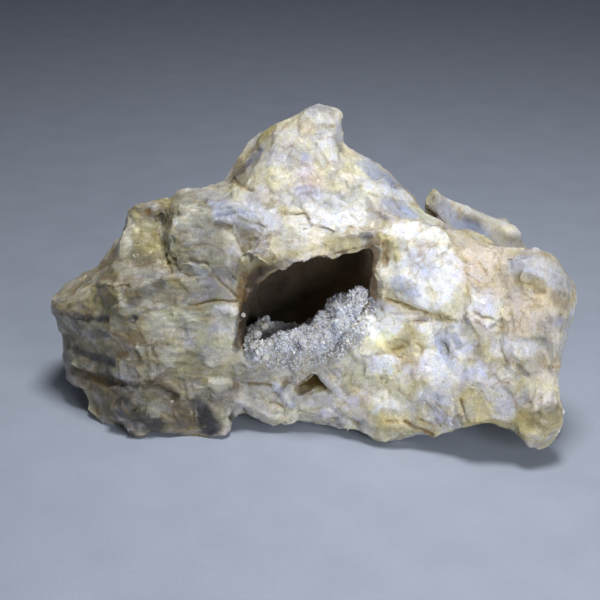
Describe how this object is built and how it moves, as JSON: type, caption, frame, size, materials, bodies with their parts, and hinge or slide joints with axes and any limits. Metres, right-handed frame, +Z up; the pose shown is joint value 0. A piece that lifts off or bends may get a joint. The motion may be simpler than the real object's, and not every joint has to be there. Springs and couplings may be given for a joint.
{
  "type": "viewing stone",
  "caption": "Rough natural rock of milky vein quartz with a peak and a cave-like hollow lined with small crystals; it rests on its own uneven foot.",
  "frame": {"origin": "on the ground, under the middle of the stone's bounding box", "axes": "+Z up, -Y out of the face with the hollow in it, +X to the right seen from there"},
  "size_m": [0.1478, 0.0836, 0.089],
  "materials": {
    "vein_quartz": "rough, broken, iron-stained",
    "quartz_crystals": "small glittering crystals"
  },
  "bodies": {
    "root": {"stone": "vein_quartz", "crystal_crust": "quartz_crystals"}
  },
  "joints": []
}
